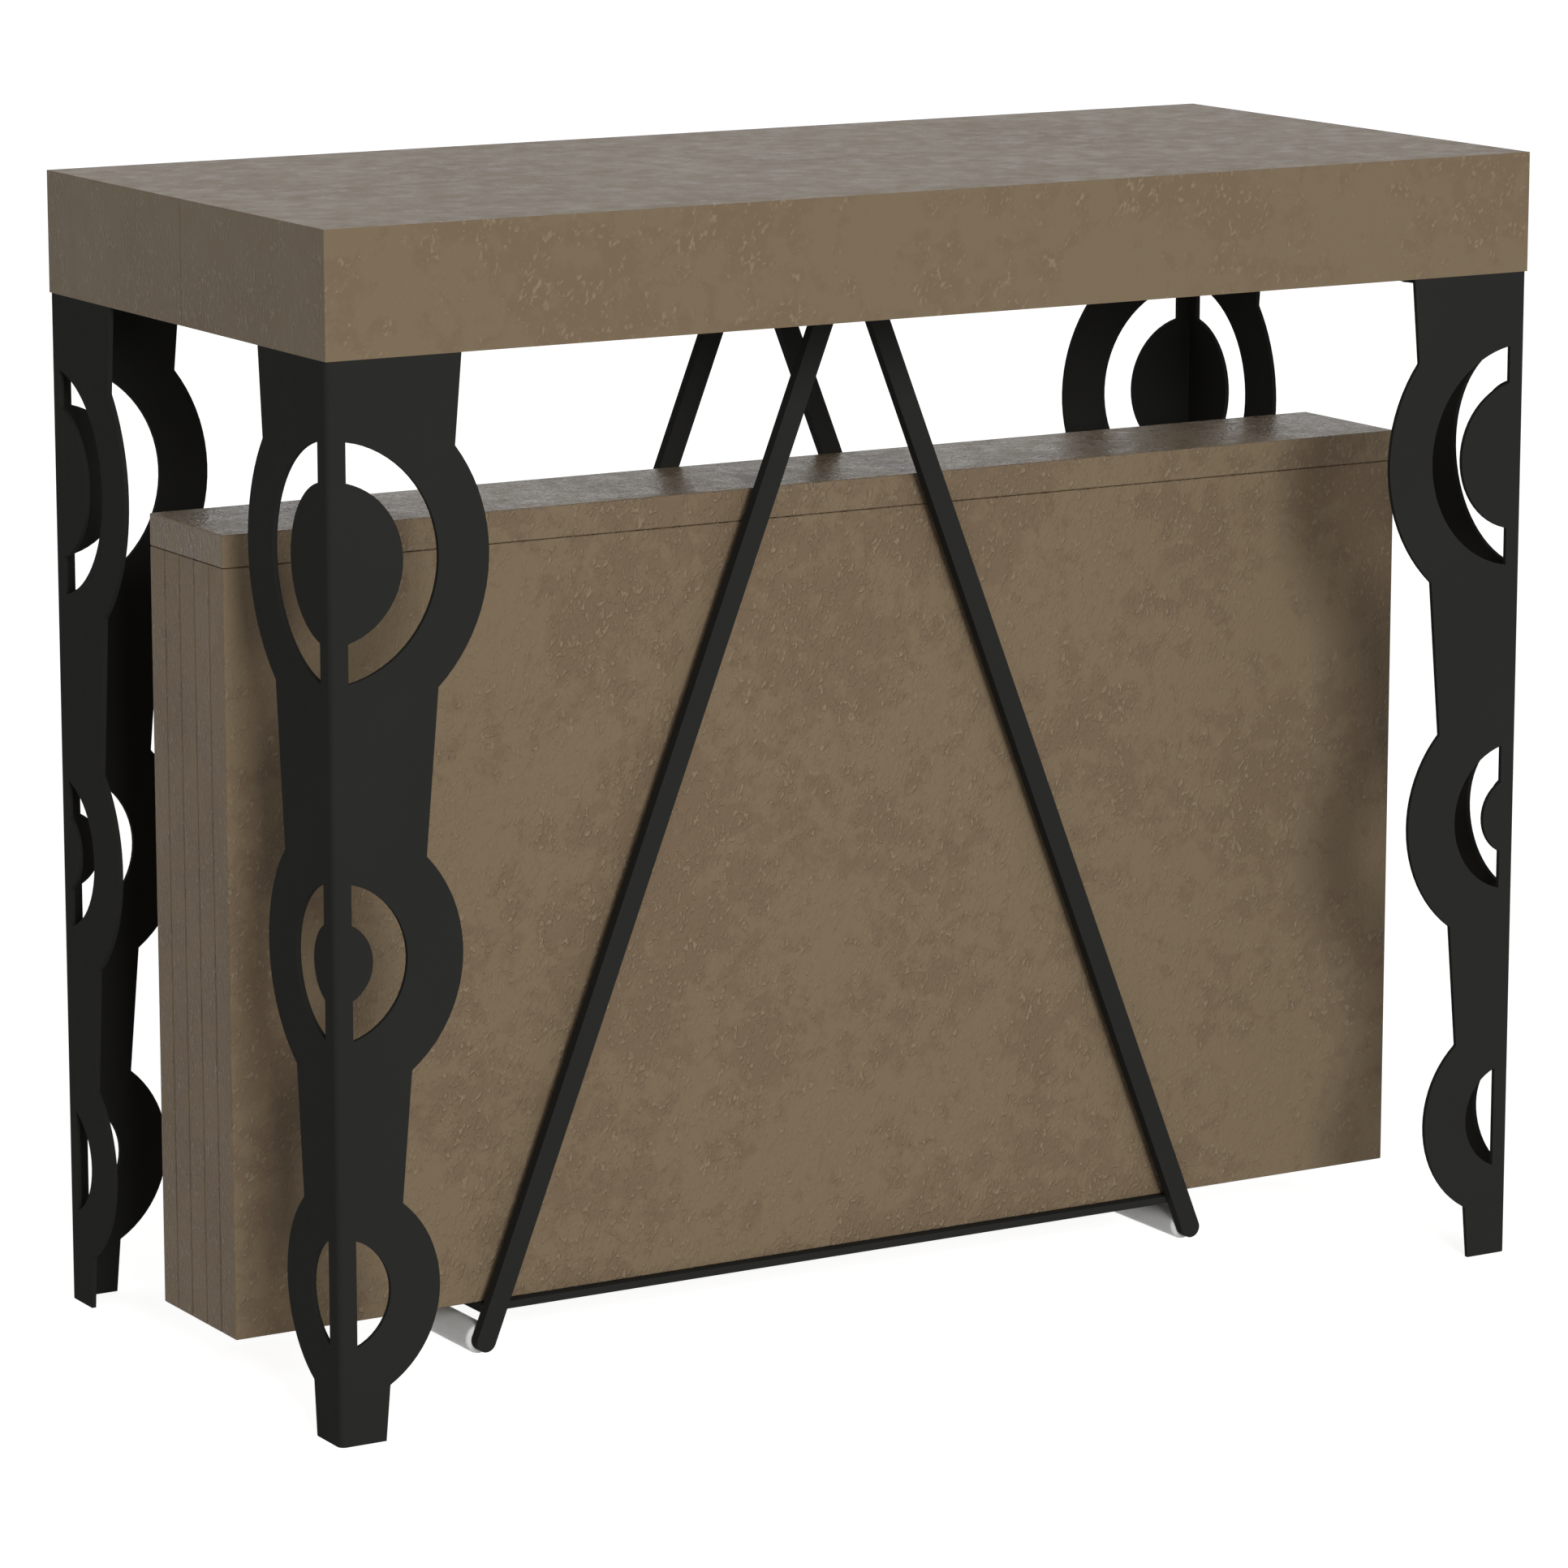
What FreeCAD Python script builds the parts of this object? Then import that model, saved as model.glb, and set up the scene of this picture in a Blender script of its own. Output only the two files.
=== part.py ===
import FreeCAD, Part
import os

# Extending console table: two half tops on bent sheet legs that draw apart on telescopic rails,
# with a wheeled rack of spare leaves under them. Millimetres, +Z up, -Y to the front.
# The origin is on the floor, under the middle of the closed table.

# Table top and aprons
table_width = 900.0
table_depth = 400.0
table_height = 760.0
edge_height = 80.0
board_thickness = 21.0
seam_gap = 0.5

# Bent sheet legs, with rings and discs centred on the bend
sheet_thickness = 3.0
inner_bend_radius = 1.5
leg_top_width = 92.5
leg_foot_width = 32.2
spine_width = 12.7
upper_ring_height_share = 0.8176
upper_ring_radius = 110.3
upper_hole_radius = 75.5
upper_disc_radius = 51.0
middle_ring_height_share = 0.4525
middle_ring_radius = 89.6
middle_hole_radius = 51.0
middle_disc_radius = 27.0
lower_ring_height_share = 0.1432
lower_ring_radius = 70.9
lower_hole_radius = 36.5

# Leg plates, corner blocks and the screws that hold the legs
leg_plate_size = 86.0
leg_plate_cut = 40.0
leg_plate_thickness = 4.0
corner_block_size = 62.0
corner_block_cut = 36.0
leg_screw_inset = 18.0
leg_screw_step = 30.0
leg_screw_radius = 2.5
leg_screw_bite = 28.0
leg_screw_head_radius = 5.0
leg_screw_head_height = 3.0

# Telescopic rails, side by side in a left and a right pack
rail_count = 11
rail_pack_place_share = 0.724
rail_width = 16.0
rail_height = 44.0
rail_gap = 0.6
rail_end_clearance = 3.0
rail_top_clearance = 0.3
rail_wall = 2.5
slot_mouth = 10.0
slot_lip = 2.5
slot_height = 20.0
slot_depth = 6.0
slot_stop = 5.0

# Sliders pegged to the front end of a rail, running in the slot of the next rail
slider_length = 96.0
slider_clearance = 0.3
peg_radius = 2.5
peg_depth = 4.0
peg_place_shares = (0.25, 0.75)

# Screws that hold the first and the last rail under the half tops
rail_screw_place_shares = (0.3, 0.8)
rail_screw_radius = 2.0
rail_screw_bite = 14.0
rail_screw_head_radius = 4.0
rail_screw_head_height = 2.5

# Spare leaves and their cover board
leaf_count = 5
leaf_gap = 0.4
leaf_seat_gap = 0.2
cover_gap = 0.3
board_arris = 0.4

# Wheeled rack
axle_spread = 554.0
head_spread = 34.2
rack_head_gap = 8.0
bar_width = 14.0
bar_thickness = 8.0
stack_side_gap = 7.5
tray_bar_width = 15.0
tray_bar_height = 5.0
roller_tray_gap = 7.7
head_plate_width = 60.0
head_plate_thickness = 8.0
cover_head_room = 109.8
roller_overhang = 3.0
roller_end_gap = 0.5
roller_rim_round = 3.0
axle_radius = 4.0
axle_seat_depth = 5.0
axle_end_play = 0.3

# Fits and cuts
running_clearance = 0.05
screw_clearance = 0.05
cut_overrun = 5.0

# Worked out from the sizes above
leg_height = table_height - edge_height
bend_radius = inner_bend_radius + sheet_thickness
under_top = table_height - board_thickness
front_face = -table_depth / 2
left_face = -table_width / 2
rail_length = table_depth - 2 * board_thickness - 2 * rail_end_clearance
rail_top = under_top - rail_top_clearance
rail_bottom = rail_top - rail_height
rail_middle = rail_top - rail_height / 2
rail_pitch = rail_width + rail_gap
last_rail = rail_count - 1
rail_pack_width = last_rail * rail_pitch + rail_width
block_inner_face = table_width / 2 - board_thickness - corner_block_size
rail_pack_inner_face = rail_pack_place_share * (block_inner_face - rail_pack_width)
rail_pack_outer_face = rail_pack_inner_face + rail_pack_width
stack_depth = leaf_count * board_thickness + (leaf_count - 1) * leaf_gap
rack_inner = stack_depth / 2 + stack_side_gap
roller_diameter = bar_width + 2 * roller_overhang
axle_height = roller_diameter / 2
rack_top = leg_height - rack_head_gap
tray_bottom = roller_diameter + roller_tray_gap
tray_top = tray_bottom + tray_bar_height
leaf_bottom = tray_top + leaf_seat_gap
head_plate_bottom = rack_top - head_plate_thickness
cover_bottom = head_plate_bottom - cover_head_room - board_thickness
leaf_top = cover_bottom - cover_gap

ORIGIN = FreeCAD.Vector(0, 0, 0)
X_AXIS = FreeCAD.Vector(1, 0, 0)
Y_AXIS = FreeCAD.Vector(0, 1, 0)
Z_AXIS = FreeCAD.Vector(0, 0, 1)


def point(x, y, z):
    return FreeCAD.Vector(x, y, z)


def block(low, high):
    """Square-edged solid between two opposite corners."""
    size = high.sub(low)
    return Part.makeBox(size.x, size.y, size.z, low)


def closed_wire(points):
    return Part.makePolygon(points + points[:1])


def prism(points, travel):
    """Straight solid from a flat outline."""
    return Part.Face(closed_wire(points)).extrude(travel)


def rod(radius, start, travel):
    """Round solid from a start point along a travel vector."""
    return Part.makeCylinder(radius, travel.Length, start, travel)


def to_the_right(shape):
    return shape.mirror(ORIGIN, X_AXIS)


def to_the_rear(shape):
    return shape.mirror(ORIGIN, Y_AXIS)


def pair(shape):
    """A solid of the right side together with its twin on the left."""
    return Part.makeCompound([to_the_right(shape), shape])


def screw(seat, shank_radius, shank_length, head_radius, head_height):
    """Upright screw: the head hangs under its seat and the shank stands above it."""
    head = rod(head_radius, seat, Z_AXIS * -head_height)
    shank = rod(shank_radius, seat, Z_AXIS * shank_length)
    return head.fuse(shank).removeSplitter()


def mitred_board(face, back):
    """Board between its seen face and its smaller hidden face, with mitred edges between them."""
    return Part.makeLoft([closed_wire(face), closed_wire(back)], True, True)


# Front half of the top: the rear half is its mirror image

def top_panel():
    seam = -seam_gap / 2
    face = []
    back = []
    for x, inward, y, backward in (
        (left_face, 1, front_face, 1),
        (-left_face, -1, front_face, 1),
        (-left_face, -1, seam, 0),
        (left_face, 1, seam, 0),
    ):
        face.append(point(x, y, table_height))
        back.append(point(x + inward * board_thickness, y + backward * board_thickness, under_top))
    return mitred_board(face, back)


def long_apron():
    face = []
    back = []
    for x, inward, z, downward in (
        (left_face, 1, leg_height, 0),
        (-left_face, -1, leg_height, 0),
        (-left_face, -1, table_height, 1),
        (left_face, 1, table_height, 1),
    ):
        face.append(point(x, front_face, z))
        back.append(
            point(x + inward * board_thickness, front_face + board_thickness, z - downward * board_thickness)
        )
    return mitred_board(face, back)


def left_apron():
    seam = -seam_gap / 2
    face = []
    back = []
    for y, backward, z, downward in (
        (front_face, 1, leg_height, 0),
        (seam, 0, leg_height, 0),
        (seam, 0, table_height, 1),
        (front_face, 1, table_height, 1),
    ):
        face.append(point(left_face, y, z))
        back.append(
            point(left_face + board_thickness, y + backward * board_thickness, z - downward * board_thickness)
        )
    return mitred_board(face, back)


# Legs: modelled at a corner at the origin, with one flange along +X and the other along +Y

def leg_rings():
    """Height on the leg, ring radius, hole radius and disc radius of each ring."""
    return (
        (upper_ring_height_share * leg_height, upper_ring_radius, upper_hole_radius, upper_disc_radius),
        (middle_ring_height_share * leg_height, middle_ring_radius, middle_hole_radius, middle_disc_radius),
        (lower_ring_height_share * leg_height, lower_ring_radius, lower_hole_radius, None),
    )


def leg_flange():
    """One tapered flange with its pierced rings, from the bend outwards."""
    through = Y_AXIS * sheet_thickness
    flange = prism(
        [
            point(bend_radius, 0, 0),
            point(leg_foot_width, 0, 0),
            point(leg_top_width, 0, leg_height),
            point(bend_radius, 0, leg_height),
        ],
        through,
    )
    rings = []
    holes = []
    kept = [block(point(bend_radius, 0, 0), point(spine_width, sheet_thickness, leg_height))]
    for height, ring_radius, hole_radius, disc_radius in leg_rings():
        centre = Z_AXIS * height
        rings.append(rod(ring_radius, centre, through))
        holes.append(rod(hole_radius, centre, through))
        if disc_radius:
            kept.append(rod(disc_radius, centre, through))
    flange = flange.fuse(rings).cut(holes).fuse(kept)
    reach = 2 * max(ring[1] for ring in leg_rings())
    beyond_bend = block(
        point(-reach, -cut_overrun, -cut_overrun),
        point(bend_radius, sheet_thickness + cut_overrun, leg_height + cut_overrun),
    )
    return flange.cut(beyond_bend).removeSplitter()


def leg_bend():
    """Quarter round that joins the two flanges."""
    centre = point(bend_radius, bend_radius, 0)
    upright = Z_AXIS * leg_height
    tube = rod(bend_radius, centre, upright).cut(rod(inner_bend_radius, centre, upright))
    return tube.common(block(ORIGIN, point(bend_radius, bend_radius, leg_height)))


def cut_square(start, size, cut, bottom, top):
    """Upright block on a square plan with its inner corner cut off."""
    end = start + size
    plan = [
        point(start, start, bottom),
        point(end, start, bottom),
        point(end, end - cut, bottom),
        point(end - cut, end, bottom),
        point(start, end, bottom),
    ]
    return prism(plan, Z_AXIS * (top - bottom))


def leg_screw_places():
    near = board_thickness + leg_screw_inset
    far = near + leg_screw_step
    return ((near, near), (far, near), (near, far))


def leg():
    flange = leg_flange()
    twin = flange.mirror(ORIGIN, point(1, -1, 0))
    plate_bottom = leg_height - leg_plate_thickness
    plate_side = leg_plate_size - sheet_thickness
    plate = cut_square(sheet_thickness, plate_side, leg_plate_cut, plate_bottom, leg_height)
    for x, y in leg_screw_places():
        seat = point(x, y, plate_bottom)
        plate = plate.cut(rod(leg_screw_radius + screw_clearance, seat, Z_AXIS * leg_plate_thickness))
    return flange.fuse([twin, leg_bend(), plate]).removeSplitter()


def corner_block():
    glued = cut_square(board_thickness, corner_block_size, corner_block_cut, leg_height, under_top)
    for x, y in leg_screw_places():
        pilot = rod(leg_screw_radius + screw_clearance, point(x, y, leg_height), Z_AXIS * leg_screw_bite)
        glued = glued.cut(pilot)
    return glued


def leg_screws():
    seat = leg_height - leg_plate_thickness
    shank = leg_plate_thickness + leg_screw_bite - screw_clearance
    return [
        screw(point(x, y, seat), leg_screw_radius, shank, leg_screw_head_radius, leg_screw_head_height)
        for x, y in leg_screw_places()
    ]


def front_left(shape):
    """Carries a piece from the modelling corner to the front left corner of the table."""
    return shape.translated(point(left_face, front_face, 0))


# Telescopic rails: the right pack is modelled and the left one is its mirror image

def rail_outer_face(index):
    return rail_pack_outer_face - index * rail_pitch


def slot_cuts(outer):
    """The T slot in a rail's outer face, open at the front and stopped at the rear."""
    start = -rail_length / 2 - cut_overrun
    end = rail_length / 2 - slot_stop
    lip = outer - slot_lip
    mouth = block(
        point(lip, start, rail_middle - slot_mouth / 2),
        point(outer + cut_overrun, end, rail_middle + slot_mouth / 2),
    )
    hollow = block(
        point(lip - slot_depth, start, rail_middle - slot_height / 2),
        point(lip, end, rail_middle + slot_height / 2),
    )
    return [mouth, hollow]


def chamber_cuts(outer):
    """The two long hollows of the extrusion, above and under its slot."""
    chamber_height = (rail_height - slot_height) / 2 - 2 * rail_wall
    chamber_length = rail_length + 2 * cut_overrun
    cuts = []
    for bottom in (rail_bottom + rail_wall, rail_top - rail_wall - chamber_height):
        low = point(outer - rail_width + rail_wall, -chamber_length / 2, bottom)
        high = point(outer - rail_wall, chamber_length / 2, bottom + chamber_height)
        cuts.append(block(low, high))
    return cuts


def peg_places():
    return [-rail_length / 2 + share * slider_length for share in peg_place_shares]


def rail_screw_places(index):
    """Plan places of a rail's screws: the first rail hangs under the rear half, the last under the front."""
    web = rail_width - slot_lip - slot_depth
    x = rail_outer_face(index) - rail_width + web / 2
    side = {0: 1, last_rail: -1}.get(index)
    if side is None:
        return []
    return [(x, side * share * rail_length / 2) for share in rail_screw_place_shares]


def rail(index):
    outer = rail_outer_face(index)
    inner = outer - rail_width
    extrusion = block(
        point(inner, -rail_length / 2, rail_bottom),
        point(outer, rail_length / 2, rail_top),
    )
    cuts = slot_cuts(outer) + chamber_cuts(outer)
    if index < last_rail:
        for y in peg_places():
            start = point(inner, y, rail_middle)
            cuts.append(rod(peg_radius + running_clearance, start, X_AXIS * (peg_depth + slider_clearance)))
    for x, y in rail_screw_places(index):
        cuts.append(rod(rail_screw_radius + screw_clearance, point(x, y, rail_bottom), Z_AXIS * rail_height))
    return extrusion.cut(cuts)


def slider(index):
    """T shaped glide pegged to rail INDEX, with its head in the slot of the next rail."""
    seat = rail_outer_face(index) - rail_width
    slot = rail_outer_face(index + 1)
    start = -rail_length / 2
    end = start + slider_length
    half_neck = slot_mouth / 2 - slider_clearance
    half_head = slot_height / 2 - slider_clearance
    shoulder = slot - slot_lip - slider_clearance
    neck = block(
        point(shoulder, start, rail_middle - half_neck),
        point(seat, end, rail_middle + half_neck),
    )
    head = block(
        point(slot - slot_lip - slot_depth + slider_clearance, start, rail_middle - half_head),
        point(shoulder, end, rail_middle + half_head),
    )
    pegs = [rod(peg_radius, point(seat, y, rail_middle), X_AXIS * peg_depth) for y in peg_places()]
    return head.fuse([neck] + pegs).removeSplitter()


def rail_screws(index):
    shank = rail_height + rail_top_clearance + rail_screw_bite - screw_clearance
    right = [
        screw(
            point(x, y, rail_bottom), rail_screw_radius, shank, rail_screw_head_radius, rail_screw_head_height
        )
        for x, y in rail_screw_places(index)
    ]
    return Part.makeCompound(right + [to_the_right(one) for one in right])


def rail_screw_pilots(index):
    """Blind holes for a rail's screws in the under side of its half top."""
    radius = rail_screw_radius + screw_clearance
    bite = Z_AXIS * rail_screw_bite
    right = [rod(radius, point(x, y, under_top), bite) for x, y in rail_screw_places(index)]
    return right + [to_the_right(one) for one in right]


# Leaves

def stored_board(low, high):
    """Board with its sharp edges just broken."""
    sharp = block(low, high)
    return sharp.makeChamfer(board_arris, sharp.Edges)


def leaf(index):
    near = -stack_depth / 2 + index * (board_thickness + leaf_gap)
    return stored_board(
        point(left_face, near, leaf_bottom),
        point(-left_face, near + board_thickness, leaf_top),
    )


def leaf_cover():
    return stored_board(
        point(left_face, -stack_depth / 2, cover_bottom),
        point(-left_face, stack_depth / 2, cover_bottom + board_thickness),
    )


# Wheeled rack: its front left quarter is modelled and mirrored

def bar_centre(height):
    """Distance of a slanting bar's middle line from the middle of the rack at a height."""
    rise = (height - axle_height) / (rack_top - axle_height)
    return (axle_spread + rise * (head_spread - axle_spread)) / 2


def slanting_bar():
    """Front left bar: round about the axle at its foot, cut level at its head."""
    foot = point(-bar_centre(axle_height), -rack_inner - bar_thickness, axle_height)
    head = point(-bar_centre(rack_top), foot.y, rack_top)
    along = head.sub(foot).normalize()
    across = along.cross(Y_AXIS).normalize() * (bar_width / 2)
    tip = head.add(along * bar_width)
    outline = [
        Part.makeLine(foot.add(across), tip.add(across)),
        Part.makeLine(tip.add(across), tip.sub(across)),
        Part.makeLine(tip.sub(across), foot.sub(across)),
        Part.Arc(foot.sub(across), foot.sub(along * (bar_width / 2)), foot.add(across)).toShape(),
    ]
    bar = Part.Face(Part.Wire(outline)).extrude(Y_AXIS * bar_thickness)
    above = block(
        point(-axle_spread, foot.y - cut_overrun, rack_top),
        point(axle_spread, foot.y + bar_thickness + cut_overrun, rack_top + 2 * bar_width),
    )
    seat_start = point(foot.x, foot.y + bar_thickness, axle_height)
    seat = rod(axle_radius + running_clearance, seat_start, Y_AXIS * -axle_seat_depth)
    return bar.cut([above, seat])


def tray_side_bar():
    """Front long bar of the tray under the leaves."""
    half_length = bar_centre(tray_bottom + tray_bar_height / 2) + tray_bar_width / 2
    return block(
        point(-half_length, -rack_inner, tray_bottom),
        point(half_length, -rack_inner + tray_bar_width, tray_top),
    )


def tray_cross_bar():
    """Left short bar of the tray, between its long bars."""
    middle = -bar_centre(tray_bottom + tray_bar_height / 2)
    half_length = rack_inner - tray_bar_width
    return block(
        point(middle - tray_bar_width / 2, -half_length, tray_bottom),
        point(middle + tray_bar_width / 2, half_length, tray_top),
    )


def head_plate():
    return block(
        point(-head_plate_width / 2, -rack_inner, head_plate_bottom),
        point(head_plate_width / 2, rack_inner, rack_top),
    )


def axle():
    half_length = rack_inner + axle_seat_depth - axle_end_play
    start = point(-bar_centre(axle_height), -half_length, axle_height)
    return rod(axle_radius, start, Y_AXIS * (2 * half_length))


def roller():
    half_length = rack_inner - roller_end_gap
    start = point(-bar_centre(axle_height), -half_length, axle_height)
    length = Y_AXIS * (2 * half_length)
    body = rod(roller_diameter / 2, start, length)
    rims = [edge for edge in body.Edges if edge.Closed]
    body = body.makeFillet(roller_rim_round, rims)
    return body.cut(rod(axle_radius + running_clearance, start, length))


def half_top(name, carry, rail_index):
    """Nodes of one half of the table, carried to its place from the front half."""
    panel = carry(top_panel()).cut(rail_screw_pilots(rail_index))
    apron = left_apron()
    glued = front_left(corner_block())
    legs = front_left(leg())
    screws = [front_left(one) for one in leg_screws()]
    return {
        f"top_panel_{name}": panel,
        f"apron_{name}": carry(long_apron()),
        f"apron_{name}_left": carry(apron),
        f"apron_{name}_right": carry(to_the_right(apron)),
        f"corner_blocks_{name}": carry(pair(glued)),
        f"leg_{name}_left": carry(legs),
        f"leg_{name}_right": carry(to_the_right(legs)),
        f"leg_screws_{name}": carry(Part.makeCompound(screws + [to_the_right(one) for one in screws])),
        f"rail_screws_{name}": rail_screws(rail_index),
    }


def rails_and_sliders():
    nodes = {}
    for index in range(rail_count):
        nodes[f"rails_stage_{index:02d}"] = pair(rail(index))
    for index in range(last_rail):
        nodes[f"sliders_stage_{index:02d}"] = pair(slider(index))
    return nodes


def rack():
    bar = slanting_bar()
    side_bar = tray_side_bar()
    cross_bar = tray_cross_bar()
    return {
        "rack_bar_front_left": bar,
        "rack_bar_front_right": to_the_right(bar),
        "rack_bar_rear_left": to_the_rear(bar),
        "rack_bar_rear_right": to_the_rear(to_the_right(bar)),
        "tray_bar_front": side_bar,
        "tray_bar_rear": to_the_rear(side_bar),
        "tray_bar_left": cross_bar,
        "tray_bar_right": to_the_right(cross_bar),
        "rack_head_plate": head_plate(),
        "axle_left": axle(),
        "axle_right": to_the_right(axle()),
        "roller_left": roller(),
        "roller_right": to_the_right(roller()),
    }


def leaves():
    nodes = {f"leaf_{index + 1}": leaf(index) for index in range(leaf_count)}
    nodes["leaf_cover"] = leaf_cover()
    return nodes


def main():
    nodes = {}
    nodes.update(half_top("front", lambda shape: shape, last_rail))
    nodes.update(half_top("rear", to_the_rear, 0))
    nodes.update(rails_and_sliders())
    nodes.update(rack())
    nodes.update(leaves())
    os.makedirs("parts", exist_ok=True)
    for name, shape in nodes.items():
        shape.exportStep(f"parts/{name}.step")
    print(len(nodes), "nodes")


main()
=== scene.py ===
import math

import bmesh
import bpy
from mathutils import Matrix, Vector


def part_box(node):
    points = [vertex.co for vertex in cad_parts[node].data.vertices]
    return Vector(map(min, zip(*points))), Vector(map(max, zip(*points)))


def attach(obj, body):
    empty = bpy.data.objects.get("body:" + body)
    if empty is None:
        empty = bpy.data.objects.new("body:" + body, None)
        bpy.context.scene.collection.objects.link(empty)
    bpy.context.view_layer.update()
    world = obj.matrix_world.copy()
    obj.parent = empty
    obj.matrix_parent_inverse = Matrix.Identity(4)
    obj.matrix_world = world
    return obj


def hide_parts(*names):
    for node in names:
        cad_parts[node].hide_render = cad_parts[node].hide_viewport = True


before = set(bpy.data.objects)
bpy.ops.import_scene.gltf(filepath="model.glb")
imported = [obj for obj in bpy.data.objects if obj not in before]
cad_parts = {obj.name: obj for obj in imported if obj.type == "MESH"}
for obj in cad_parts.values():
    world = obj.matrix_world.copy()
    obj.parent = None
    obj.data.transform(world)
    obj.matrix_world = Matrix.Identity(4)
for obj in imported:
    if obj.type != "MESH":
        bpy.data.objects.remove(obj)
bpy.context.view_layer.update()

# Extending console table at rest, seen from the front left. Metres, +Z up, -Y to the front.


# Finishes

# A wave texture at scale 1 repeats once in this length, along an axis and along a diagonal
WAVE_REPEAT = math.tau / 20
DIAGONAL_WAVE_REPEAT = math.tau / 10

# Most of a noise texture lies between the low and the high value
NOISE_LOW, NOISE_MIDDLE, NOISE_HIGH = 0.3, 0.5, 0.7

# Bronze laminate: share of the large clouds next to the small patches, lean of the crinkle, how much
# glossier the patches are, and the colour of the painted highlight (glint) on a crinkle crest
CLOUD_SHARE = 0.8
CRINKLE_LEAN = math.radians(25)
PATCH_GLOSS = 0.15
GLINT_BRONZE = "#A3937A"


def linear(colour):
    """Linear light, with alpha, of a colour written as sRGB hex."""
    parts = [int(colour[i:i + 2], 16) / 255 for i in (1, 3, 5)]
    return [p / 12.92 if p <= 0.04045 else ((p + 0.055) / 1.055) ** 2.4 for p in parts] + [1.0]


def per_mm(size):
    """Texture scale at which a pattern repeats about once in SIZE millimetres."""
    return 1000.0 / size


def add(tree, kind, inputs=None, **settings):
    """Adds a node, sets its settings, and links or sets its inputs."""
    made = tree.nodes.new(kind)
    for name, value in settings.items():
        setattr(made, name, value)
    for name, value in (inputs or {}).items():
        if isinstance(value, bpy.types.NodeSocket):
            tree.links.new(value, made.inputs[name])
        else:
            made.inputs[name].default_value = value
    return made


def new_material(name):
    """Empty node material: the material, its tree and its Object coordinates."""
    material = bpy.data.materials.new(name)
    material.use_nodes = True
    tree = material.node_tree
    tree.nodes.clear()
    return material, tree, add(tree, "ShaderNodeTexCoord").outputs["Object"]


def bronze_laminate(name, light, dark, wear, spread, relief, dull, shine):
    # Melamine-faced board, printed as oxidised bronze and pressed on an embossed plate. The eye gets a
    # dull brown in soft patches, some darker and glossier, and a fine leathery crinkle that gathers
    # along slanting folds, with painted highlights (glints) in a paler colour on its crests.
    material, tree, place = new_material(name)
    cloud = add(tree, "ShaderNodeTexNoise", {"Vector": place, "Scale": per_mm(90), "Detail": 3.0})
    patch = add(tree, "ShaderNodeTexNoise", {
        "Vector": place, "Scale": per_mm(17), "Detail": 6.0, "Roughness": 0.66, "Distortion": 0.3})
    grown = add(tree, "ShaderNodeMath", {
        0: cloud.outputs["Fac"], 1: CLOUD_SHARE, 2: patch.outputs["Fac"]}, operation="MULTIPLY_ADD")
    worn = add(tree, "ShaderNodeMapRange", {
        "Value": grown.outputs["Value"], "From Min": wear - 0.06, "From Max": wear + 0.1},
        interpolation_type="SMOOTHSTEP")
    print_tone = add(tree, "ShaderNodeMix", {
        "Factor": worn.outputs["Result"], "A": linear(light), "B": linear(dark)}, data_type="RGBA")
    leaning = add(tree, "ShaderNodeMapping", {
        "Vector": place, "Rotation": (0.0, CRINKLE_LEAN, 0.0), "Scale": (1.0, 1.0, 1.8)},
        vector_type="TEXTURE")
    crinkle = add(tree, "ShaderNodeTexNoise", {
        "Vector": leaning.outputs["Vector"], "Scale": per_mm(2.4), "Detail": 1.5, "Roughness": 0.5,
        "Distortion": 0.5})
    pebble = add(tree, "ShaderNodeMapRange", {
        "Value": crinkle.outputs["Fac"], "From Min": 0.42, "From Max": 0.68},
        interpolation_type="SMOOTHSTEP")
    fold = add(tree, "ShaderNodeTexNoise", {
        "Vector": leaning.outputs["Vector"], "Scale": per_mm(13), "Detail": 2.0, "Distortion": 0.8})
    crest = add(tree, "ShaderNodeMath", {
        0: fold.outputs["Fac"], 1: NOISE_MIDDLE}, operation="PINGPONG")
    depth = add(tree, "ShaderNodeMapRange", {
        "Value": crest.outputs["Value"], "From Min": 0.36, "From Max": 0.49,
        "To Min": 0.25, "To Max": 1.0})
    pressed = add(tree, "ShaderNodeMapRange", {
        "Value": grown.outputs["Value"], "From Min": wear - 0.1, "From Max": wear + 0.06,
        "To Min": spread, "To Max": 1.0})
    ridge = add(tree, "ShaderNodeMath", {
        0: depth.outputs["Result"], 1: pressed.outputs["Result"]}, operation="MULTIPLY")
    height = add(tree, "ShaderNodeMath", {
        0: pebble.outputs["Result"], 1: ridge.outputs["Value"]}, operation="MULTIPLY")
    # Painted highlight: the crinkle crests are mixed towards a paler colour, as glints
    glint = add(tree, "ShaderNodeMapRange", {
        "Value": height.outputs["Value"], "From Min": 0.4, "From Max": 1.0, "To Max": 0.5})
    colour = add(tree, "ShaderNodeMix", {
        "Factor": glint.outputs["Result"], "A": print_tone.outputs["Result"],
        "B": linear(GLINT_BRONZE)}, data_type="RGBA")
    bump = add(tree, "ShaderNodeBump", {
        "Height": height.outputs["Value"], "Distance": relief, "Strength": 1.0})
    gloss = add(tree, "ShaderNodeMapRange", {
        "Value": patch.outputs["Fac"], "From Min": 0.36, "From Max": 0.64,
        "To Min": dull, "To Max": dull - PATCH_GLOSS})
    board = add(tree, "ShaderNodeBsdfPrincipled", {
        "Base Color": colour.outputs["Result"], "Roughness": gloss.outputs["Result"], "IOR": 1.5,
        "Specular IOR Level": shine, "Normal": bump.outputs["Normal"]})
    add(tree, "ShaderNodeOutputMaterial", {"Surface": board.outputs["BSDF"]})
    return material


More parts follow.
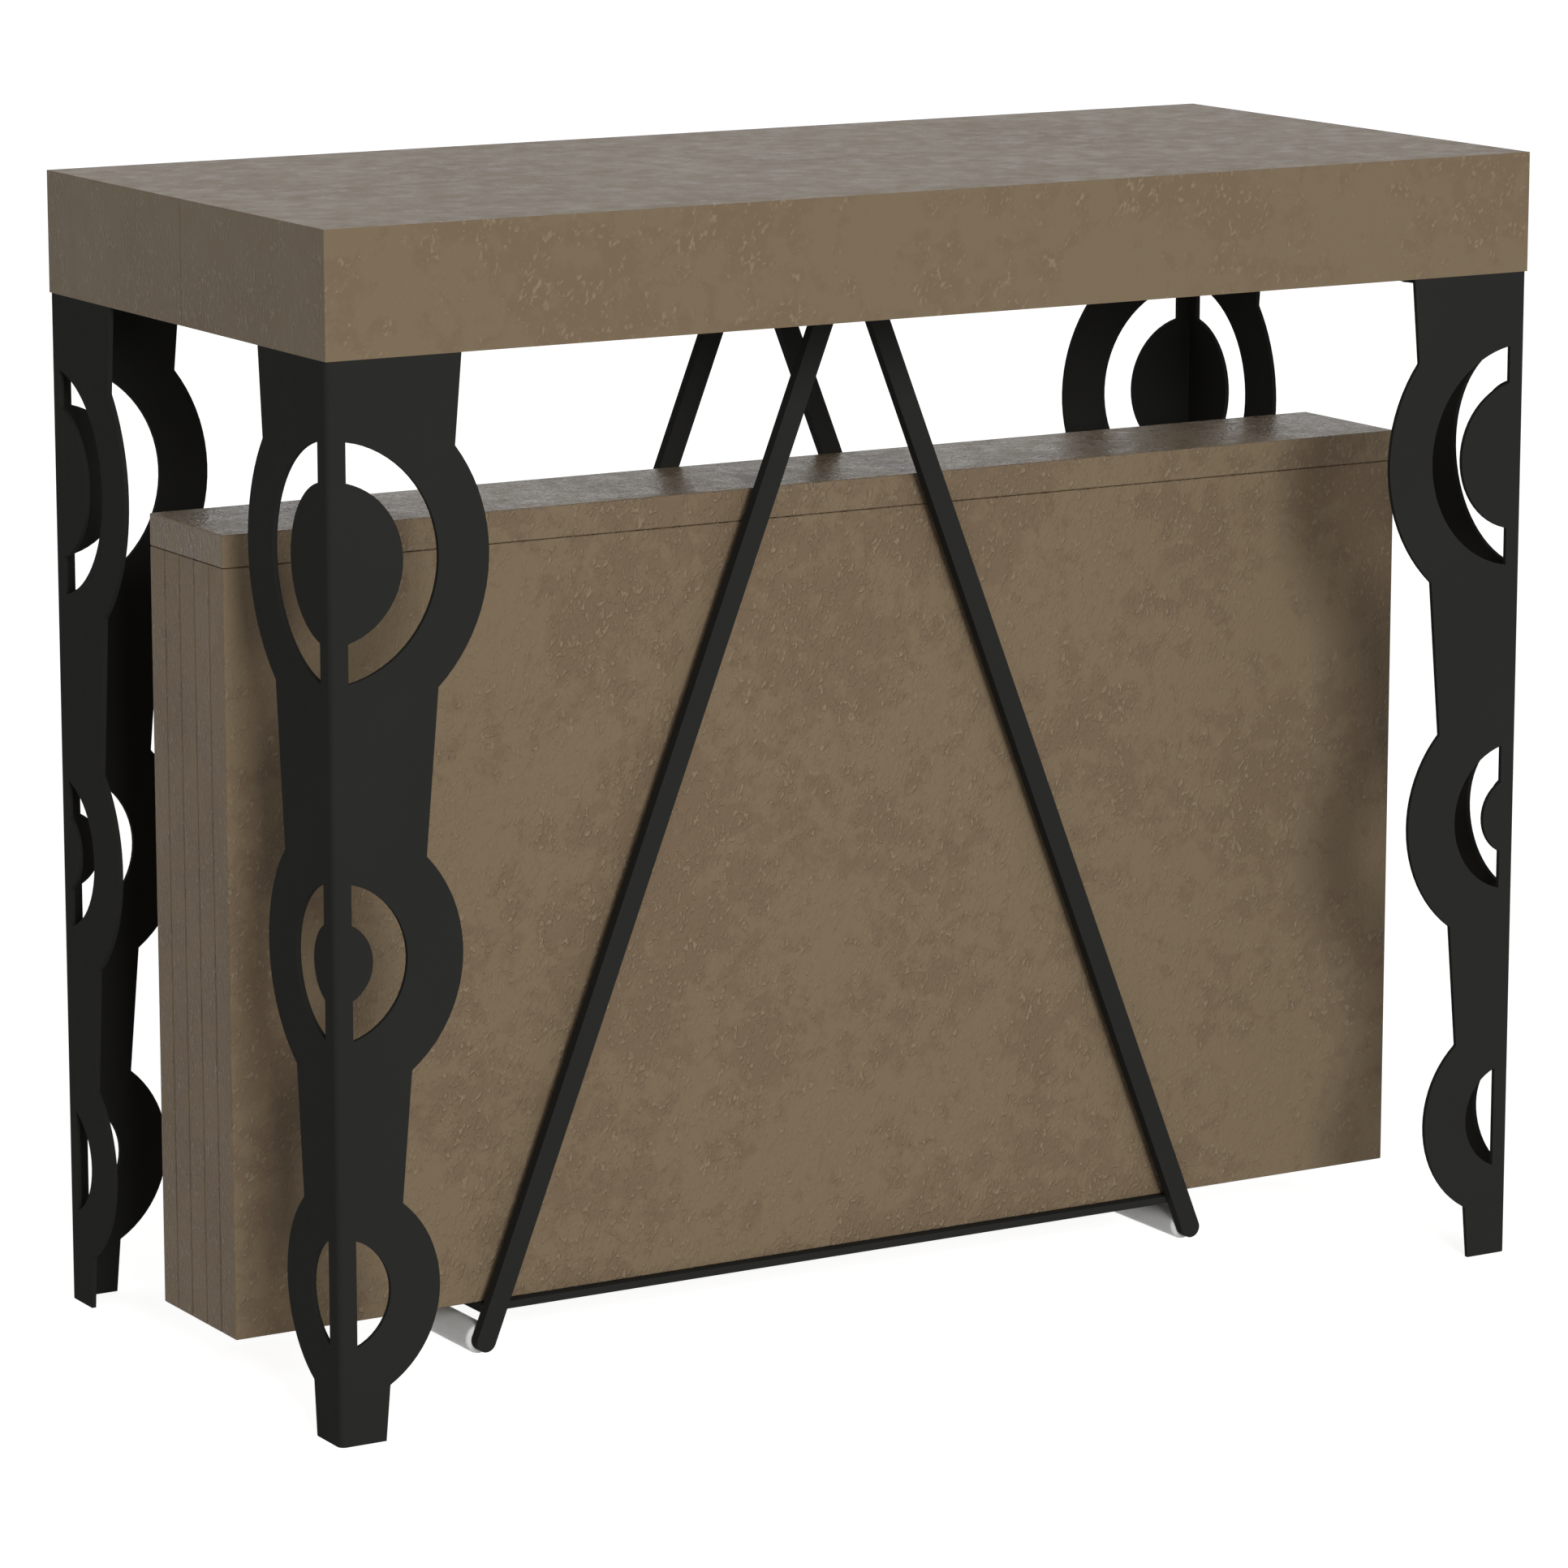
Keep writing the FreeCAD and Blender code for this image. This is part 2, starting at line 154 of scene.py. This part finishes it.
def extruded_abs():
    # Dark ABS edging, extruded and rolled on. The eye gets a dull brown-black edge with faint lines
    # along it, drawn coarser than the real ones so that they show.
    material, tree, place = new_material("extruded_abs")
    along = add(tree, "ShaderNodeMapping", {"Vector": place, "Scale": (0.02, 1.0, 1.0)})
    lines = add(tree, "ShaderNodeTexNoise", {
        "Vector": along.outputs["Vector"], "Scale": per_mm(1.2), "Detail": 3.0})
    colour = add(tree, "ShaderNodeMix", {
        "Factor": lines.outputs["Fac"], "A": linear("#2E261D"), "B": linear("#3A3026")},
        data_type="RGBA")
    dull = add(tree, "ShaderNodeMapRange", {
        "Value": lines.outputs["Fac"], "From Min": NOISE_LOW, "From Max": NOISE_HIGH,
        "To Min": 0.5, "To Max": 0.62})
    bump = add(tree, "ShaderNodeBump", {
        "Height": lines.outputs["Fac"], "Distance": 0.00004, "Strength": 0.5})
    edging = add(tree, "ShaderNodeBsdfPrincipled", {
        "Base Color": colour.outputs["Result"], "Roughness": dull.outputs["Result"], "IOR": 1.54,
        "Normal": bump.outputs["Normal"]})
    add(tree, "ShaderNodeOutputMaterial", {"Surface": edging.outputs["BSDF"]})
    return material


def powder_coated_steel():
    # Sheet and flat bar under a matt black polyester powder coat. The eye gets a deep even black with a
    # soft sheen and a faint orange peel, drawn coarser than the real grit so that it shows.
    material, tree, place = new_material("powder_coated_steel")
    peel = add(tree, "ShaderNodeTexNoise", {"Vector": place, "Scale": per_mm(1.6), "Detail": 2.0})
    drift = add(tree, "ShaderNodeTexNoise", {"Vector": place, "Scale": per_mm(90), "Detail": 4.0})
    colour = add(tree, "ShaderNodeMix", {
        "Factor": drift.outputs["Fac"], "A": linear("#2B2B29"), "B": linear("#2F2F2D")},
        data_type="RGBA")
    sheen = add(tree, "ShaderNodeMapRange", {
        "Value": peel.outputs["Fac"], "From Min": NOISE_LOW, "From Max": NOISE_HIGH,
        "To Min": 0.68, "To Max": 0.8})
    bump = add(tree, "ShaderNodeBump", {
        "Height": peel.outputs["Fac"], "Distance": 0.00008, "Strength": 0.6})
    coat = add(tree, "ShaderNodeBsdfPrincipled", {
        "Base Color": colour.outputs["Result"], "Roughness": sheen.outputs["Result"], "IOR": 1.5,
        "Specular IOR Level": 0.02, "Normal": bump.outputs["Normal"]})
    add(tree, "ShaderNodeOutputMaterial", {"Surface": coat.outputs["BSDF"]})
    return material


def anodised_aluminium():
    # Extruded rail, satin anodised. The eye gets a pale grey metal with fine die lines along its
    # length, drawn coarser than the real ones so that they show.
    material, tree, place = new_material("anodised_aluminium")
    along = add(tree, "ShaderNodeMapping", {"Vector": place, "Scale": (1.0, 0.004, 1.0)})
    lines = add(tree, "ShaderNodeTexNoise", {
        "Vector": along.outputs["Vector"], "Scale": per_mm(0.7), "Detail": 3.0})
    colour = add(tree, "ShaderNodeMix", {
        "Factor": lines.outputs["Fac"], "A": linear("#B9BBBD"), "B": linear("#CDCFD0")},
        data_type="RGBA")
    satin = add(tree, "ShaderNodeMapRange", {
        "Value": lines.outputs["Fac"], "From Min": NOISE_LOW, "From Max": NOISE_HIGH,
        "To Min": 0.3, "To Max": 0.44})
    bump = add(tree, "ShaderNodeBump", {
        "Height": lines.outputs["Fac"], "Distance": 0.00003, "Strength": 0.5})
    metal = add(tree, "ShaderNodeBsdfPrincipled", {
        "Base Color": colour.outputs["Result"], "Roughness": satin.outputs["Result"], "Metallic": 1.0,
        "Normal": bump.outputs["Normal"]})
    add(tree, "ShaderNodeOutputMaterial", {"Surface": metal.outputs["BSDF"]})
    return material


def moulded_nylon():
    # Injection-moulded glide in natural nylon. The eye gets a waxy off-white with a faint spark-eroded
    # grain, drawn coarser than the real one so that it shows.
    material, tree, place = new_material("moulded_nylon")
    grain = add(tree, "ShaderNodeTexNoise", {"Vector": place, "Scale": per_mm(0.8), "Detail": 2.0})
    flow = add(tree, "ShaderNodeTexNoise", {"Vector": place, "Scale": per_mm(30), "Detail": 3.0})
    colour = add(tree, "ShaderNodeMix", {
        "Factor": flow.outputs["Fac"], "A": linear("#D6D2C4"), "B": linear("#E2DFD3")},
        data_type="RGBA")
    waxy = add(tree, "ShaderNodeMapRange", {
        "Value": grain.outputs["Fac"], "From Min": NOISE_LOW, "From Max": NOISE_HIGH,
        "To Min": 0.4, "To Max": 0.52})
    bump = add(tree, "ShaderNodeBump", {
        "Height": grain.outputs["Fac"], "Distance": 0.00005, "Strength": 0.5})
    nylon = add(tree, "ShaderNodeBsdfPrincipled", {
        "Base Color": colour.outputs["Result"], "Roughness": waxy.outputs["Result"], "IOR": 1.53,
        "Normal": bump.outputs["Normal"]})
    add(tree, "ShaderNodeOutputMaterial", {"Surface": nylon.outputs["BSDF"]})
    return material


def white_polypropylene():
    # Moulded white roller. The eye gets a clean satin white with fine turned rings and a little floor
    # dust.
    material, tree, place = new_material("white_polypropylene")
    rings = add(tree, "ShaderNodeTexWave", {
        "Vector": place, "Scale": per_mm(2.6) * WAVE_REPEAT, "Distortion": 1.5, "Detail": 2.0},
        wave_type="BANDS", bands_direction="Y")
    dust = add(tree, "ShaderNodeTexNoise", {
        "Vector": place, "Scale": per_mm(9), "Detail": 6.0, "Roughness": 0.7})
    dusty = add(tree, "ShaderNodeMapRange", {
        "Value": dust.outputs["Fac"], "From Min": 0.5, "From Max": 0.75, "To Max": 0.35})
    colour = add(tree, "ShaderNodeMix", {
        "Factor": dusty.outputs["Result"], "A": linear("#ECECEA"), "B": linear("#D9D8D4")},
        data_type="RGBA")
    satin = add(tree, "ShaderNodeMapRange", {
        "Value": dust.outputs["Fac"], "From Min": NOISE_LOW, "From Max": NOISE_HIGH,
        "To Min": 0.34, "To Max": 0.5})
    bump = add(tree, "ShaderNodeBump", {
        "Height": rings.outputs["Fac"], "Distance": 0.00004, "Strength": 0.5})
    plastic = add(tree, "ShaderNodeBsdfPrincipled", {
        "Base Color": colour.outputs["Result"], "Roughness": satin.outputs["Result"], "IOR": 1.49,
        "Normal": bump.outputs["Normal"]})
    add(tree, "ShaderNodeOutputMaterial", {"Surface": plastic.outputs["BSDF"]})
    return material


def turned_steel():
    # Turned steel axle. The eye gets a grey metal with fine tool marks across its length, drawn coarser
    # than the real ones so that they show.
    material, tree, place = new_material("turned_steel")
    across = add(tree, "ShaderNodeMapping", {"Vector": place, "Scale": (0.02, 1.0, 0.02)})
    marks = add(tree, "ShaderNodeTexNoise", {
        "Vector": across.outputs["Vector"], "Scale": per_mm(0.6), "Detail": 2.0})
    colour = add(tree, "ShaderNodeMix", {
        "Factor": marks.outputs["Fac"], "A": linear("#8C8D8F"), "B": linear("#A9AAAB")},
        data_type="RGBA")
    turned = add(tree, "ShaderNodeMapRange", {
        "Value": marks.outputs["Fac"], "From Min": NOISE_LOW, "From Max": NOISE_HIGH,
        "To Min": 0.26, "To Max": 0.4})
    metal = add(tree, "ShaderNodeBsdfPrincipled", {
        "Base Color": colour.outputs["Result"], "Roughness": turned.outputs["Result"], "Metallic": 1.0})
    add(tree, "ShaderNodeOutputMaterial", {"Surface": metal.outputs["BSDF"]})
    return material


def zinc_plated_steel():
    # Bright zinc-plated screw. The eye gets a bluish white metal with a faint passivation bloom.
    material, tree, place = new_material("zinc_plated_steel")
    bloom = add(tree, "ShaderNodeTexNoise", {"Vector": place, "Scale": per_mm(3), "Detail": 4.0})
    colour = add(tree, "ShaderNodeMix", {
        "Factor": bloom.outputs["Fac"], "A": linear("#B4B7BA"), "B": linear("#C9C8BE")},
        data_type="RGBA")
    plated = add(tree, "ShaderNodeMapRange", {
        "Value": bloom.outputs["Fac"], "From Min": NOISE_LOW, "From Max": NOISE_HIGH,
        "To Min": 0.24, "To Max": 0.38})
    metal = add(tree, "ShaderNodeBsdfPrincipled", {
        "Base Color": colour.outputs["Result"], "Roughness": plated.outputs["Result"], "Metallic": 1.0})
    add(tree, "ShaderNodeOutputMaterial", {"Surface": metal.outputs["BSDF"]})
    return material


def planed_spruce():
    # Planed softwood corner block. The eye gets pale straw wood with darker late-wood lines up its
    # length.
    material, tree, place = new_material("planed_spruce")
    upright = add(tree, "ShaderNodeMapping", {"Vector": place, "Scale": (1.0, 1.0, 0.06)})
    rings = add(tree, "ShaderNodeTexWave", {
        "Vector": upright.outputs["Vector"], "Scale": per_mm(3.5) * DIAGONAL_WAVE_REPEAT,
        "Distortion": 5.0, "Detail": 2.0, "Detail Scale": 0.6},
        wave_type="BANDS", bands_direction="DIAGONAL", wave_profile="SAW")
    fibre = add(tree, "ShaderNodeTexNoise", {
        "Vector": upright.outputs["Vector"], "Scale": per_mm(0.5), "Detail": 2.0})
    wood = add(tree, "ShaderNodeMix", {
        "Factor": rings.outputs["Fac"], "A": linear("#D8BC8C"), "B": linear("#B98F58")},
        data_type="RGBA")
    planed = add(tree, "ShaderNodeMapRange", {
        "Value": fibre.outputs["Fac"], "From Min": NOISE_LOW, "From Max": NOISE_HIGH,
        "To Min": 0.55, "To Max": 0.7})
    bump = add(tree, "ShaderNodeBump", {
        "Height": fibre.outputs["Fac"], "Distance": 0.00008, "Strength": 0.5})
    block = add(tree, "ShaderNodeBsdfPrincipled", {
        "Base Color": wood.outputs["Result"], "Roughness": planed.outputs["Result"], "IOR": 1.5,
        "Normal": bump.outputs["Normal"]})
    add(tree, "ShaderNodeOutputMaterial", {"Surface": block.outputs["BSDF"]})
    return material


finishes = {
    "board_laminate": bronze_laminate(
        "bronze_laminate", "#80705A", "#7B6A55",
        wear=0.91, spread=0.3, relief=0.00034, dull=0.46, shine=0.07),
    "block_wood": planed_spruce(),
    "black_steel": powder_coated_steel(),
    "rail_aluminium": anodised_aluminium(),
    "slider_nylon": moulded_nylon(),
    "roller_plastic": white_polypropylene(),
    "axle_steel": turned_steel(),
    "screw_zinc": zinc_plated_steel(),
}
# The spare leaves and the cover board get a paler print than the top, a lit copy of the same laminate
# that offsets the shade the top casts on them (painted light). The spare leaves are also pressed deeper
# than the top, and the cover board is glossier than they are
leaf_laminate = bronze_laminate(
    "bronze_laminate_leaf", "#84735C", "#7C6A55",
    wear=0.9, spread=0.65, relief=0.0008, dull=0.56, shine=0.1)
cover_laminate = bronze_laminate(
    "bronze_laminate_cover", "#84735C", "#7C6A55",
    wear=0.9, spread=0.65, relief=0.0008, dull=0.36, shine=0.1)
# The loaded materials have the names of the record's slots
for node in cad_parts.values():
    for slot in node.material_slots:
        slot.material = finishes[slot.material.name.split(".")[0]]


# Pieces

LEAF_COUNT = 5
ARRIS = 0.001
ARRIS_STEPS = 3
EDGING_SET_BACK = 0.0006
EDGING_CLEARANCE = 0.0001


def new_piece(name, shape, material):
    """Object at the origin, made from a bmesh, which it frees."""
    mesh = bpy.data.meshes.new(name)
    shape.to_mesh(mesh)
    shape.free()
    mesh.materials.append(material)
    piece = bpy.data.objects.new(name, mesh)
    bpy.context.scene.collection.objects.link(piece)
    return piece


def eased_board(node, laminate):
    # Leaf or cover board with its arrises eased, so that the boards of the stack part in fine grooves
    low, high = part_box(node)
    shape = bmesh.new()
    bmesh.ops.create_cube(shape, size=1.0)
    bmesh.ops.scale(shape, verts=shape.verts, vec=[b - a for a, b in zip(low, high)])
    bmesh.ops.translate(shape, verts=shape.verts, vec=[(a + b) / 2 for a, b in zip(low, high)])
    bmesh.ops.bevel(
        shape, geom=shape.edges[:], offset=ARRIS, segments=ARRIS_STEPS, profile=0.5,
        affect="EDGES", material=-1)
    board = new_piece("board_" + node, shape, laminate)
    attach(board, node)
    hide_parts(node)


def meeting_edge():
    # Edging where the front half meets the rear half. It closes the seam, a little below the faces.
    panel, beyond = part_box("top_panel_front"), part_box("top_panel_rear")
    left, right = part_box("apron_front_left"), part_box("apron_front_right")
    low, high = left[0][2] + EDGING_SET_BACK, panel[1][2] - EDGING_SET_BACK
    outer, inner = right[1][0] - EDGING_SET_BACK, right[0][0] + EDGING_SET_BACK
    under = panel[0][2] + EDGING_SET_BACK
    shape = bmesh.new()
    outline = [
        (-outer, low), (-outer, high), (outer, high), (outer, low),
        (inner, low), (inner, under), (-inner, under), (-inner, low),
    ]
    face = shape.faces.new([shape.verts.new((x, panel[1][1], z)) for x, z in outline])
    grown = bmesh.ops.extrude_face_region(shape, geom=[face])["geom"]
    bmesh.ops.translate(
        shape, verts=[v for v in grown if isinstance(v, bmesh.types.BMVert)],
        vec=(0.0, beyond[0][1] - panel[1][1] - EDGING_CLEARANCE, 0.0))
    bmesh.ops.recalc_face_normals(shape, faces=shape.faces)
    edging = new_piece("meeting_edge", shape, extruded_abs())
    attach(edging, "front_half")


for number in range(1, LEAF_COUNT + 1):
    eased_board(f"leaf_{number}", leaf_laminate)
eased_board("leaf_cover", cover_laminate)
meeting_edge()


# Studio: one softbox to the left of the front, a dim sky that is brighter behind the table and in
# front of it, and a floor that stays white to the camera. KEY_LEVEL is the brightness that the
# softbox gives a white surface that faces it, and KEY_AIM the height that it points at.

FLOOR_SIZE = 40.0
FLOOR_GLOW = 0.86
SKY_LEVEL = 0.1
BACKDROP_LEVEL = 0.45
FILL_LEVEL = 0.38
KEY_DISTANCE = 14.0
KEY_BEARING = math.radians(-10.5)
KEY_HEIGHT = math.radians(18)
KEY_AIM = 0.4
KEY_SIZE = 5.5
KEY_LEVEL = 0.62
CAMERA_PLACE = (-2.1815, -3.6584, 1.1977)
CAMERA_TURN = math.radians(-30.6819)
CAMERA_DIP = math.radians(11.3747)
CAMERA_LENS_MM = 148.407
CAMERA_SENSOR_MM = 36.0
CAMERA_REACH = 100.0


def seen_directly(tree):
    """1 for rays that the camera, a reflection or a see-through piece sends, 0 for bounced light."""
    path = add(tree, "ShaderNodeLightPath")
    mirrored = add(tree, "ShaderNodeMath", {
        0: path.outputs["Is Glossy Ray"], 1: path.outputs["Is Transmission Ray"]}, operation="MAXIMUM")
    return add(tree, "ShaderNodeMath", {
        0: path.outputs["Is Camera Ray"], 1: mirrored.outputs["Value"]},
        operation="MAXIMUM").outputs["Value"]


def studio_floor():
    # Matt white paper. It glows only to the rays of seen_directly, so it reads white, lights nothing
    # and keeps the soft shadow.
    material, tree, _ = new_material("studio_paper")
    glow = add(tree, "ShaderNodeMath", {0: seen_directly(tree), 1: FLOOR_GLOW}, operation="MULTIPLY")
    light = add(tree, "ShaderNodeEmission", {
        "Color": linear("#FFFFFF"), "Strength": glow.outputs["Value"]})
    paper = add(tree, "ShaderNodeBsdfDiffuse", {"Color": linear("#DADADA")})
    both = add(tree, "ShaderNodeAddShader", {0: light.outputs["Emission"], 1: paper.outputs["BSDF"]})
    add(tree, "ShaderNodeOutputMaterial", {"Surface": both.outputs["Shader"]})
    shape = bmesh.new()
    bmesh.ops.create_grid(shape, x_segments=1, y_segments=1, size=FLOOR_SIZE / 2)
    new_piece("floor", shape, material)


def studio_sky():
    # White to the camera and in reflections. Its light grows from the sides to the back and the front.
    world = bpy.data.worlds.new("studio")
    bpy.context.scene.world = world
    world.use_nodes = True
    tree = world.node_tree
    tree.nodes.clear()
    towards = add(tree, "ShaderNodeSeparateXYZ", {
        "Vector": add(tree, "ShaderNodeTexCoord").outputs["Generated"]})
    backdrop = add(tree, "ShaderNodeMapRange", {
        "Value": towards.outputs["Y"], "From Min": 0.0, "From Max": 1.0,
        "To Min": SKY_LEVEL, "To Max": SKY_LEVEL + BACKDROP_LEVEL})
    fill = add(tree, "ShaderNodeMapRange", {
        "Value": towards.outputs["Y"], "From Min": 0.0, "From Max": -1.0,
        "To Min": 0.0, "To Max": FILL_LEVEL})
    level = add(tree, "ShaderNodeMath", {
        0: backdrop.outputs["Result"], 1: fill.outputs["Result"]}, operation="ADD")
    dim = add(tree, "ShaderNodeBackground", {
        "Color": linear("#FFFFFF"), "Strength": level.outputs["Value"]})
    white = add(tree, "ShaderNodeBackground", {"Color": linear("#FFFFFF"), "Strength": 1.0})
    both = add(tree, "ShaderNodeMixShader", {
        0: seen_directly(tree), 1: dim.outputs["Background"], 2: white.outputs["Background"]})
    add(tree, "ShaderNodeOutputWorld", {"Surface": both.outputs["Shader"]})


def softbox():
    # Hidden from reflections, because otherwise it bleaches the top in views from behind
    lamp = bpy.data.lights.new("softbox", "AREA")
    lamp.size = KEY_SIZE
    lamp.energy = KEY_LEVEL * (math.pi * KEY_DISTANCE) ** 2
    key = bpy.data.objects.new("softbox", lamp)
    key.location = (
        KEY_DISTANCE * math.sin(KEY_BEARING) * math.cos(KEY_HEIGHT),
        -KEY_DISTANCE * math.cos(KEY_BEARING) * math.cos(KEY_HEIGHT),
        KEY_AIM + KEY_DISTANCE * math.sin(KEY_HEIGHT),
    )
    key.rotation_euler = (math.pi / 2 - KEY_HEIGHT, 0.0, -KEY_BEARING)
    key.visible_glossy = False
    bpy.context.scene.collection.objects.link(key)


def camera():
    lens = bpy.data.cameras.new("camera")
    lens.sensor_width = CAMERA_SENSOR_MM
    lens.lens = CAMERA_LENS_MM
    lens.clip_end = CAMERA_REACH
    made = bpy.data.objects.new("camera", lens)
    made.location = CAMERA_PLACE
    made.rotation_euler = (math.pi / 2 - CAMERA_DIP, 0.0, CAMERA_TURN)
    bpy.context.scene.collection.objects.link(made)
    bpy.context.scene.camera = made


studio_floor()
studio_sky()
softbox()
camera()
bpy.context.scene.view_settings.view_transform = "Standard"
